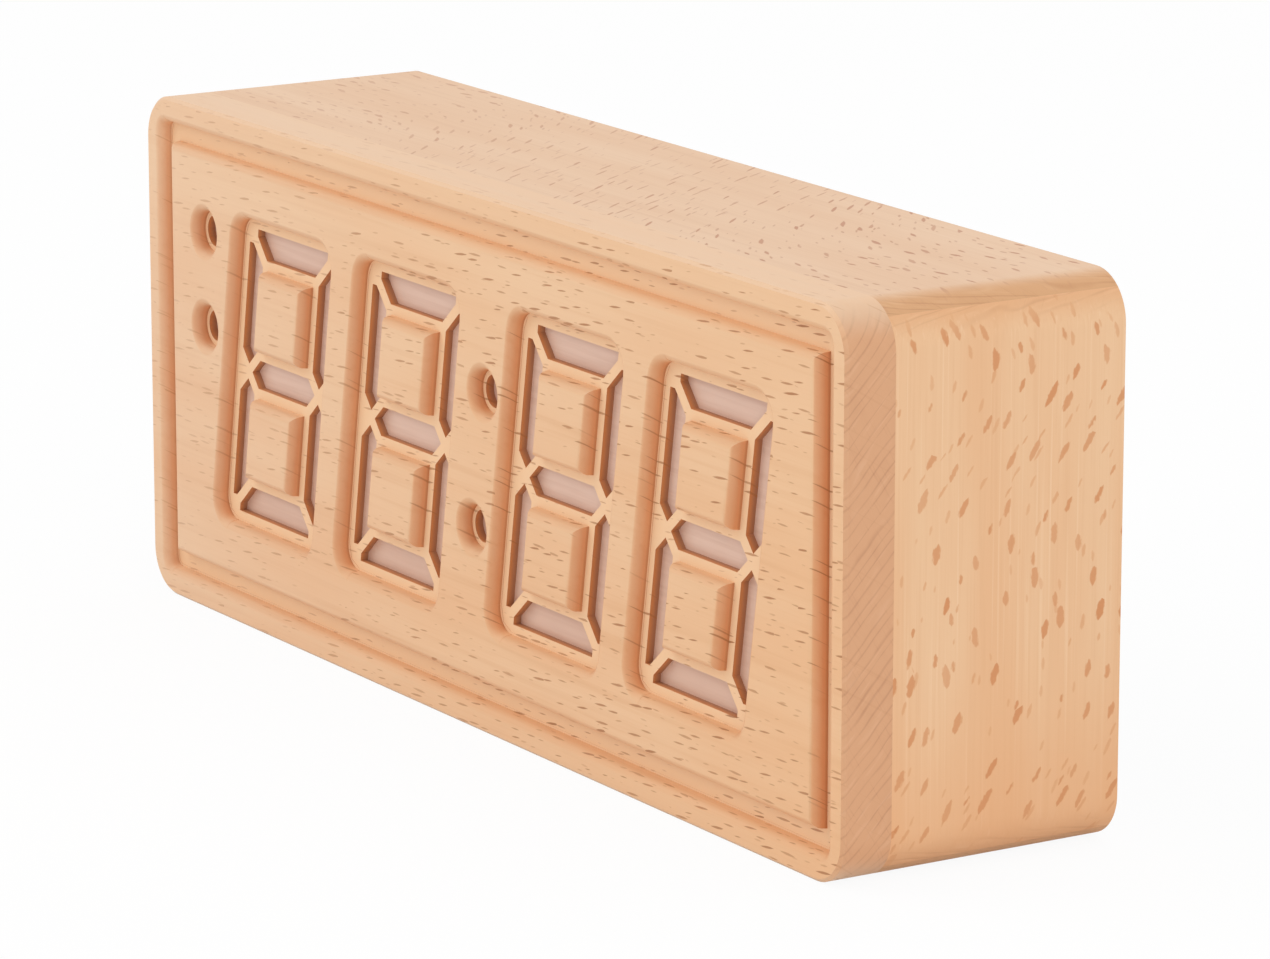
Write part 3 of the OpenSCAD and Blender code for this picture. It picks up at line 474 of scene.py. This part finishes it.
top_tones = {
    "light": (230, 195, 163), "warm": (226, 187, 153), "late": (210, 166, 131),
    "streak": 0.2, "fibre": 0.16, "shear": 0.3, "seed": 5.1,
    "pale": 0.15, "pale_line": (240, 214, 190),
    "end": (216, 166, 122), "end_line": (190, 136, 94), "end_pale": (226, 182, 140),
    "ring": (0.1, 1.0, 0.9), "end_from": (0.04, 0.5), "strong": (-60.0, 90.0, 0.9, 1.45),
    "marks": [
        {"cell": (4.6, 4.0), "half_length": 1.25, "half_width": 0.3, "spread": 0.5, "shown": 0.85,
         "blunt": 2.0, "soft": 0.13, "strength": 0.82, "colour": (194, 140, 108), "ragged": 0.25,
         "crowd": (30.0, 14.0, 0.15)},
        {"cell": (2.9, 2.3), "half_length": 0.65, "half_width": 0.2, "spread": 0.5, "shown": 0.45,
         "blunt": 2.0, "soft": 0.1, "strength": 0.58, "colour": (196, 146, 116), "ragged": 0.15,
         "crowd": (24.0, 10.0, 0.15)},
    ],
}
side_tones = {
    "light": (240, 199, 158), "warm": (236, 187, 143), "late": (225, 172, 127),
    "streak": 0.2, "fibre": 0.2, "shear": 0.2, "seed": 9.4,
    "pale": 0.4, "pale_line": (248, 213, 176),
    "foot": 0.5, "foot_from": (4.0, 34.0), "foot_tone": (235, 174, 124),
    "end": (227, 173, 127), "end_line": (198, 140, 98), "end_pale": (236, 188, 146),
    "ring": (0.1, 1.0, 0.9), "end_from": (0.15, 0.85), "strong": (0.0, CASE_H, 1.0, 0.95),
    "marks": [
        {"cell": (6.2, 4.3), "half_length": 1.25, "half_width": 0.45, "spread": 0.35, "shown": 0.9,
         "blunt": 3.0, "soft": 0.15, "strength": 0.95, "colour": (213, 143, 93), "ragged": 0.7,
         "crowd": (30.0, 20.0, -0.3)},
        {"cell": (3.7, 2.7), "half_length": 0.85, "half_width": 0.24, "spread": 0.4, "shown": 0.5,
         "blunt": 3.0, "soft": 0.14, "strength": 0.65, "colour": (220, 156, 108), "ragged": 0.4,
         "crowd": (20.0, 14.0, -0.2)},
    ],
}


def front_lean(along):
    """The dashes of the front lie nearly along the grain."""
    return 0.06


def top_lean(along):
    """The marks of the top lean most in the middle of its length."""
    mid_length = 1.0 - abs(along - 5.0).step(15.0, 80.0)
    return mid_length * -1.45


def side_lean(along):
    """The marks of a side lean one way at its top, the other way below, and are upright in the middle."""
    at_top = along.step(66.0, 76.0)
    below_top = 1.0 - abs(along - 58.0).step(2.0, 16.0)
    near_foot = 1.0 - along.step(8.0, 32.0)
    return below_top * 0.55 + near_foot * 0.55 - at_top * 0.4 + 0.05


def block_lean(along):
    """The marks of the glue blocks lean a little."""
    return 0.2


front_wood = beech("beech_front", (0, 2, 1), front_tones, front_lean, carved_front)
top_wood = beech("beech_top", (0, 1, 2), top_tones, top_lean)
side_wood = beech("beech_side", (2, 1, 0), side_tones, side_lean)
block_wood = beech("beech_block", (1, 0, 2), dict(side_tones, seed=14.2), block_lean)

# Plastic: the size in mm of its cloudy patches, what they add to its colour and gloss, and the height in mm
# of its moulded grain
CLOUD_MM = 30.0
CLOUD_FACTOR = 1.25
CLOUD_LIFT = 0.004
CLOUD_ROUGH = 0.1
GRAIN_HIGH = 0.04


def plastic(name, colour, rough, grain_mm=0.0, strength=0.0):
    """Moulded plastic: a nearly even colour, a slightly uneven gloss and a fine spark-eroded grain."""
    f = Finish(name, IOR=1.49)
    x, y, z = f.place()
    cloud = f.noise(x / CLOUD_MM, y / CLOUD_MM, z / CLOUD_MM, 3.0)
    base = srgb(*colour)
    f.feed("Base Color", f.mix(cloud, base, shade(base, CLOUD_FACTOR, CLOUD_LIFT)))
    f.feed("Roughness", rough - CLOUD_ROUGH / 2 + cloud * CLOUD_ROUGH)
    if grain_mm:
        f.bump(f.noise(x / grain_mm, y / grain_mm, z / grain_mm, 3.0, 0.6), strength, GRAIN_HIGH)
    return f.material


# Lines that drawing leaves on steel: length and width in mm, their shade, and what they add to roughness
DRAWN_LONG = 4.0
DRAWN_WIDE = 0.15
DRAWN_SHADE = 0.8
DRAWN_ROUGH = 0.15


def metal(name, colour, rough):
    """Plated steel with faint draw lines from left to right."""
    f = Finish(name, Metallic=1.0)
    x, y, z = f.place()
    lines = f.noise(x / DRAWN_LONG, y / DRAWN_WIDE, z / DRAWN_WIDE, 3.0)
    base = srgb(*colour)
    f.feed("Base Color", f.mix(lines, base, shade(base, DRAWN_SHADE)))
    f.feed("Roughness", rough + lines * DRAWN_ROUGH)
    return f.material


# The film behind the digits: its colours, the length and height in mm of its streaks and puffs, the heights
# in mm between which its foot ends, and how strongly each of these shows
FILM = srgb(237, 203, 183)
FILM_DARK = srgb(221, 182, 160)
FILM_FOOT = srgb(222, 180, 154)
STREAK_LONG = 22.0
STREAK_HIGH = 0.7
PUFF_LONG = 9.0
PUFF_HIGH = 4.0
FOOT_ENDS = (16.0, 46.0)
STREAK_SHARE = 0.5
PUFF_SHARE = 0.3
FOOT_SHARE = 0.4


def frosted_film():
    """The pale window behind the segments, with faint level streaks and a darker foot."""
    f = Finish("diffuser_film", IOR=1.45, Roughness=0.42)
    x, y, z = f.place()
    streak = f.noise(x / STREAK_LONG, z / STREAK_HIGH, y, 3.0)
    puff = f.noise(x / PUFF_LONG, z / PUFF_HIGH, y, 2.0)
    tone = f.mix(streak.step(0.35, 0.75) * STREAK_SHARE + puff * PUFF_SHARE, FILM, FILM_DARK)
    tone = f.mix((1.0 - z.step(*FOOT_ENDS)) * FOOT_SHARE, tone, FILM_FOOT)
    f.feed("Base Color", tone)
    return f.material


black = plastic("case_plastic", (38, 39, 42), 0.52, 0.28, 0.25)
key_plastic = plastic("key_plastic", (50, 52, 56), 0.4, 0.5, 0.1)
chip_plastic = plastic("chip_plastic", (30, 31, 34), 0.45, 0.2, 0.1)
white_plastic = plastic("reflector_plastic", (236, 236, 232), 0.5)
grey_plastic = plastic("ribbon_plastic", (150, 152, 156), 0.5)
board_mask = plastic("board_lacquer", (28, 82, 54), 0.3)
lamp_epoxy = plastic("lamp_epoxy", (244, 240, 226), 0.2)
lead_cover = plastic("lead_cover", (150, 34, 34), 0.45)
cell_wrap = plastic("cell_wrap", (58, 60, 68), 0.25)
sign_paint = plastic("sign_paint", (196, 198, 200), 0.5)
zinc = metal("zinc_plate", (172, 174, 180), 0.36)
nickel = metal("nickel_plate", (206, 204, 198), 0.22)

finishes = [
    (front_wood, ["front_panel"]),
    (top_wood, ["top_board", "bottom_board"]),
    (side_wood, ["left_side_board", "right_side_board"]),
    (block_wood, ["corner_blocks"]),
    (frosted_film(), ["diffuser_sheet"]),
    (white_plastic, ["segment_reflector"]),
    (grey_plastic, ["display_ribbon"]),
    (board_mask, ["display_board", "control_board"]),
    (lamp_epoxy, ["display_lamps"]),
    (chip_plastic, ["display_driver_chip", "clock_chip", "tact_switches", "set_plunger", "up_plunger",
                    "down_plunger", "power_socket", "buzzer"]),
    (black, ["rear_cover", "battery_door"]),
    (key_plastic, ["set_button", "up_button", "down_button", "alarm_switch_knob"]),
    (nickel, ["quartz_can", "alarm_switch_body", "power_socket_pin", "battery_contacts"]),
    (cell_wrap, ["battery_cells"]),
    (lead_cover, ["battery_wires"]),
    (zinc, ["display_screws", "rear_cover_screws", "control_board_screws"]),
]
looks = {name: finish for finish, names in finishes for name in names}
bodies = {n: body for body, held in frame["record"]["behaviour"]["bodies"].items() for n in held}


def stand_for(piece, node):
    """Put a finished piece in the place of a CAD node, on its body."""
    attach(piece, bodies[node])
    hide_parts(node)


# Edges that turn more than this, in degrees, stay crisp
ARRIS_ANGLE = 32.0
SCREW_ANGLE = 35.0


def smoothed(node):
    """A welded copy of a CAD node with smooth curves and crisp arrises, standing for that node."""
    mesh = nodes[node].data.copy()
    mesh.name = node + "_shape"
    form = bmesh.new()
    form.from_mesh(mesh)
    bmesh.ops.remove_doubles(form, verts=form.verts, dist=WELD * MM)
    form.to_mesh(mesh)
    form.free()
    if "custom_normal" in mesh.attributes:
        mesh.attributes.remove(mesh.attributes["custom_normal"])
    mesh.shade_smooth()
    mesh.set_sharp_from_angle(angle=math.radians(ARRIS_ANGLE))
    piece = bpy.data.objects.new(node + "_dressed", mesh)
    scene.collection.objects.link(piece)
    mesh.materials.clear()
    mesh.materials.append(looks[node])
    even = piece.modifiers.new("even_normals", "WEIGHTED_NORMAL")
    even.mode = "FACE_AREA"
    even.keep_sharp = True
    stand_for(piece, node)
    return piece


def solids(node):
    """The lowest and highest corner in mm of each separate solid in a CAD node, in the order of its mesh,
    so that chance gives each screw the same turn in every run."""
    form = bmesh.new()
    form.from_mesh(nodes[node].data)
    bmesh.ops.remove_doubles(form, verts=form.verts, dist=WELD * MM)
    left = set(form.verts)
    found = []
    for first in form.verts:
        if first not in left:
            continue
        left.remove(first)
        edge = [first]
        solid = []
        while edge:
            vert = edge.pop()
            solid.append(vert.co / MM)
            near = {e.other_vert(vert) for e in vert.link_edges} & left
            left -= near
            edge.extend(near)
        found.append(tuple(Vector(pick(axis) for axis in zip(*solid)) for pick in (min, max)))
    form.free()
    return found


# The screws: facets, the fall of the dome and the recess as shares of the head's height and diameter, how
# far the shank goes up into the head as a share of its height, and the weld of the finished screw in mm
HEAD_SIDES = 40
HEAD_RINGS = 10
SHANK_SIDES = 24
DOME_FALL = 0.2
DOME_ROUND = 0.35
RECESS_LONG = 0.62
RECESS_WIDE = 0.16
RECESS_TALL = 1.4
SHANK_IN = 0.15
SCREW_WELD = 0.004


def screw_tree(material):
    """Geometry nodes that set a domed cross-head screw at each point, with the top of its head at the point
    and facing along Y, and turn each one by chance."""
    tree = bpy.data.node_groups.new("cross_head_screws", "GeometryNodeTree")
    tree.interface.new_socket("Geometry", in_out="INPUT", socket_type="NodeSocketGeometry")
    for name in ("Head Diameter", "Head Height", "Shank Diameter", "Shank Length", "Facing"):
        tree.interface.new_socket(name, in_out="INPUT", socket_type="NodeSocketFloat")
    tree.interface.new_socket("Seed", in_out="INPUT", socket_type="NodeSocketInt")
    tree.interface.new_socket("Geometry", in_out="OUTPUT", socket_type="NodeSocketGeometry")
    g = Bench(tree)
    places = g.node("NodeGroupInput")
    head_d = places.of("Head Diameter")
    head_h = places.of("Head Height")
    shank_l = places.of("Shank Length")
    facing = places.of("Facing")

    x, y, z = g.parts(g.node("GeometryNodeInputPosition"))
    out = (x * x + y * y) * 4.0 / (head_d * head_d)
    fall = out * (out * DOME_ROUND + DOME_FALL) * head_h
    blank = g.node("GeometryNodeMeshCylinder", None, {
        "Vertices": HEAD_SIDES, "Fill Segments": HEAD_RINGS, "Radius": head_d / 2.0, "Depth": head_h})
    domed = g.node("GeometryNodeSetPosition", None, {
        "Geometry": blank, "Selection": z.math("GREATER_THAN", 0.0),
        "Offset": g.vector(0.0, 0.0, fall * -1.0)})

    bits = []
    for turn in (0.0, math.pi / 2):
        blade = g.node("GeometryNodeMeshCube", None, {
            "Size": g.vector(head_d * RECESS_LONG, head_d * RECESS_WIDE, head_h * RECESS_TALL)})
        bits.append(g.node("GeometryNodeTransform", None, {
            "Geometry": blade, "Translation": g.vector(0.0, 0.0, head_h / 2.0),
            "Rotation": (0.0, 0.0, turn)}))
    head = g.node("GeometryNodeMeshBoolean", {"operation": "DIFFERENCE", "solver": "EXACT"},
                  {"Mesh 1": domed, "Mesh 2": bits})

    rod = g.node("GeometryNodeMeshCylinder", None, {
        "Vertices": SHANK_SIDES, "Radius": places.of("Shank Diameter") / 2.0, "Depth": shank_l})
    shank = g.node("GeometryNodeTransform", None, {
        "Geometry": rod, "Translation": g.vector(0.0, 0.0, head_h * (SHANK_IN - 0.5) - shank_l / 2.0)})
    whole = g.node("GeometryNodeMeshBoolean", {"operation": "UNION", "solver": "EXACT"},
                   {"Mesh 2": [head, shank]})
    clean = g.node("GeometryNodeMergeByDistance", None, {"Geometry": whole, "Distance": SCREW_WELD * MM})
    screw = g.node("GeometryNodeTransform", None, {
        "Geometry": clean, "Translation": g.vector(0.0, facing * head_h / -2.0, 0.0),
        "Rotation": g.vector(facing * (math.pi / -2), 0.0, 0.0)})

    chance = g.node("FunctionNodeRandomValue", {"data_type": "FLOAT"},
                    {"Min_001": 0.0, "Max_001": math.pi / 2, "Seed": places.of("Seed")}, 1)
    set_in = g.node("GeometryNodeInstanceOnPoints", None, {
        "Points": places, "Instance": screw, "Rotation": g.vector(0.0, chance, 0.0)})
    plain = g.node("GeometryNodeRealizeInstances", None, {"Geometry": set_in})
    done = g.node("GeometryNodeSetMaterial", None, {"Geometry": plain, "Material": material})
    g.node("NodeGroupOutput", None, {"Geometry": done})
    return tree


def set_screws(tree, node, facing, head_h, shank_d, seed):
    """Finished screws in place of a node of plain ones, one at each of its solids."""
    plain = solids(node)
    low, high = plain[0]
    tops = [((a.x + b.x) / 2 * MM, (b.y if facing > 0 else a.y) * MM, (a.z + b.z) / 2 * MM)
            for a, b in plain]
    points = bpy.data.meshes.new(node + "_places")
    points.from_pydata(tops, [], [])
    piece = bpy.data.objects.new(node + "_dressed", points)
    scene.collection.objects.link(piece)
    maker = piece.modifiers.new("screws", "NODES")
    maker.node_group = tree
    inputs = {
        "Head Diameter": (high.x - low.x) * MM, "Head Height": head_h * MM, "Shank Diameter": shank_d * MM,
        "Shank Length": (high.y - low.y - (1.0 - SHANK_IN) * head_h) * MM,
        "Facing": float(facing), "Seed": seed}
    for socket in tree.interface.items_tree:
        if socket.name in inputs:
            maker[socket.identifier] = inputs[socket.name]
    mesh = bpy.data.meshes.new_from_object(piece.evaluated_get(bpy.context.evaluated_depsgraph_get()))
    piece.modifiers.remove(maker)
    piece.data = mesh
    mesh.shade_smooth()
    mesh.set_sharp_from_angle(angle=math.radians(SCREW_ANGLE))
    stand_for(piece, node)


screws = screw_tree(zinc)
set_screws(screws, "rear_cover_screws", facing=1, head_h=1.3, shank_d=2.5, seed=3)
set_screws(screws, "display_screws", facing=1, head_h=1.1, shank_d=1.9, seed=5)
set_screws(screws, "control_board_screws", facing=-1, head_h=1.1, shank_d=1.9, seed=8)

# The wrap of a cell ends this far from its axis in mm, and a face that looks this much along it is an end
WRAP_EDGE = 4.0
END_FACING = 0.7


def bare_cell_ends(piece):
    """The ends and the button of each cell are bare metal inside the edge of its wrap."""
    axes = [(low + high) / 2 for low, high in solids("battery_cells")]
    piece.data.materials.append(nickel)
    for face in piece.data.polygons:
        at = face.center / MM
        off = min(math.hypot(at.y - axis.y, at.z - axis.z) for axis in axes)
        if off < WRAP_EDGE or abs(face.normal.x) > END_FACING:
            face.material_index = 1


round_nodes = [
    "front_panel", "top_board", "bottom_board", "left_side_board", "right_side_board", "rear_cover",
    "battery_door", "set_button", "up_button", "down_button", "alarm_switch_knob", "power_socket",
    "power_socket_pin", "battery_cells"]
for name, obj in nodes.items():
    if name not in round_nodes:
        obj.data.materials.clear()
        obj.data.materials.append(looks[name])
        continue
    piece = smoothed(name)
    if name == "battery_cells":
        bare_cell_ends(piece)

# Printed signs in mm: their thickness, how far they stand above the middle of the buttons, and their weld
PRINT_T = 0.06
SIGN_RISE = 7.2
PRINT_WELD = 0.001


def arc(r, start, turn, steps, x=0.0, z=0.0):
    """Points along an arc in degrees."""
    angles = [math.radians(start + turn * k / steps) for k in range(steps + 1)]
    return [(x + r * math.cos(a), z + r * math.sin(a)) for a in angles]


def ring(r_out, r_in, steps=40):
    """A flat ring as four-cornered pieces that share their sides."""
    outer = arc(r_out, 0, 360, steps)
    inner = arc(r_in, 0, 360, steps)
    return [[outer[k], outer[k + 1], inner[k + 1], inner[k]] for k in range(steps)]


def middle(node):
    """The middle of a CAD node's box in millimetres."""
    low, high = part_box(node)
    return [(a + b) / 2 / MM for a, b in zip(low, high)]


def printed_sign(name, outlines, control):
    """A thin print on the rear cover above a control, from outlines in mm as they are seen from behind."""
    x = middle(control)[0]
    z = middle("set_button")[2] + SIGN_RISE
    form = bmesh.new()
    for outline in outlines:
        form.faces.new([form.verts.new(((x - u) * MM, COVER_Y * MM, (z + v) * MM)) for u, v in outline])
    bmesh.ops.remove_doubles(form, verts=form.verts, dist=PRINT_WELD * MM)
    grown = bmesh.ops.extrude_face_region(form, geom=form.faces[:])
    bmesh.ops.translate(form, vec=Vector((0, PRINT_T * MM, 0)),
                        verts=[g for g in grown["geom"] if isinstance(g, bmesh.types.BMVert)])
    bmesh.ops.recalc_face_normals(form, faces=form.faces)
    mesh = bpy.data.meshes.new(name)
    form.to_mesh(mesh)
    form.free()
    mesh.materials.append(sign_paint)
    piece = bpy.data.objects.new(name, mesh)
    scene.collection.objects.link(piece)
    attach(piece, "case")


hands = [(-0.12, -0.12), (0.7, -0.12), (0.7, 0.12), (0.12, 0.12), (0.12, 0.9), (-0.12, 0.9)]
bell = [(-1.35, -0.8), (1.35, -0.8), (1.0, -0.35)] + arc(0.85, 0, 180, 16, 0.0, 0.35) + [(-1.0, -0.35)]
clapper = arc(0.35, 180, 180, 10, 0.0, -0.95)
printed_sign("set_sign", ring(1.4, 1.1) + [hands], "set_button")
printed_sign("up_sign", [[(-1.3, -0.9), (1.3, -0.9), (0.0, 1.2)]], "up_button")
printed_sign("down_sign", [[(-1.3, 0.9), (0.0, -1.2), (1.3, 0.9)]], "down_button")
printed_sign("alarm_sign", [bell, clapper], "alarm_switch_body")

# The studio: half the floor's side in metres, its gap under the clock in mm, how white it looks, its colour
# as a surface, the strength of the light all round, and the point in metres that the lamps are aimed at
FLOOR_HALF = 6.0
FLOOR_GAP = 0.02
FLOOR_WHITE = 0.93
PAPER = (0.92, 0.92, 0.92, 1.0)
WHITE = (1.0, 1.0, 1.0, 1.0)
SKY = 0.62
LAMP_AIM = (0, 0, 0.04)

corners = [(-FLOOR_HALF, -FLOOR_HALF, 0), (FLOOR_HALF, -FLOOR_HALF, 0), (FLOOR_HALF, FLOOR_HALF, 0),
           (-FLOOR_HALF, FLOOR_HALF, 0)]
floor_mesh = bpy.data.meshes.new("floor")
floor_mesh.from_pydata(corners, [], [(0, 1, 2, 3)])
floor = bpy.data.objects.new("floor", floor_mesh)
floor.location.z = -FLOOR_GAP * MM
scene.collection.objects.link(floor)
paper = bpy.data.materials.new("floor_paper")
paper.use_nodes = True
bench = Bench(paper.node_tree)
lit = bench.node("ShaderNodeBsdfDiffuse", None, {"Color": PAPER})
glow = bench.node("ShaderNodeEmission", None, {"Color": WHITE})
paper_look = bench.node("ShaderNodeMixShader", None, {0: bench.in_sight() * FLOOR_WHITE, 1: lit, 2: glow})
bench.node("ShaderNodeOutputMaterial", None, {"Surface": paper_look})
floor_mesh.materials.append(paper)

world = bpy.data.worlds.new("studio")
scene.world = world
world.use_nodes = True
bench = Bench(world.node_tree)
sky = bench.node("ShaderNodeBackground", None, {"Color": WHITE, "Strength": SKY})
backdrop = bench.node("ShaderNodeBackground", None, {"Color": WHITE, "Strength": 1.0})
studio = bench.node("ShaderNodeMixShader", None, {0: bench.in_sight(), 1: sky, 2: backdrop})
bench.node("ShaderNodeOutputWorld", None, {"Surface": studio})


def soft_lamp(name, at, size, power):
    """A square soft box at a place in metres, aimed at the clock."""
    data = bpy.data.lights.new(name, "AREA")
    data.shape = "SQUARE"
    data.size = size
    data.energy = power
    lamp = bpy.data.objects.new(name, data)
    lamp.location = at
    lamp.rotation_euler = (Vector(LAMP_AIM) - Vector(at)).to_track_quat("-Z", "Y").to_euler()
    scene.collection.objects.link(lamp)


soft_lamp("key_lamp", (-0.9, -1.1, 1.3), 1.2, 9.0)
soft_lamp("fill_lamp", (1.4, -0.3, 0.9), 1.2, 6.0)
soft_lamp("top_lamp", (0.1, 0.5, 1.6), 1.4, 5.0)

# The camera of the photo: its place in metres, the way it looks, its focal length and the picture's width
# in pixels, and the width of its sensor
EYE = Vector((0.7930, -0.4882, 0.2557))
AZIMUTH = math.radians(58.061)
ELEVATION = math.radians(13.342)
ROLL = math.radians(0.023)
FOCAL_PX = 6408.7
PICTURE_PX = 1270.0
SENSOR_MM = 36.0

ahead = Vector((-math.sin(AZIMUTH) * math.cos(ELEVATION), math.cos(AZIMUTH) * math.cos(ELEVATION),
                -math.sin(ELEVATION)))
sideways = ahead.cross(Vector((0, 0, 1))).normalized()
upright = sideways.cross(ahead)
right = sideways * math.cos(ROLL) + upright * math.sin(ROLL)
upward = upright * math.cos(ROLL) - sideways * math.sin(ROLL)
view = bpy.data.cameras.new("photo_camera")
view.sensor_fit = "HORIZONTAL"
view.sensor_width = SENSOR_MM
view.lens = FOCAL_PX / PICTURE_PX * SENSOR_MM
view.clip_start = 0.01
view.clip_end = 50.0
camera = bpy.data.objects.new("photo_camera", view)
camera.matrix_world = Matrix((
    (right.x, upward.x, -ahead.x, EYE.x), (right.y, upward.y, -ahead.y, EYE.y),
    (right.z, upward.z, -ahead.z, EYE.z), (0, 0, 0, 1)))
scene.collection.objects.link(camera)
scene.camera = camera
scene.view_settings.view_transform = "Standard"
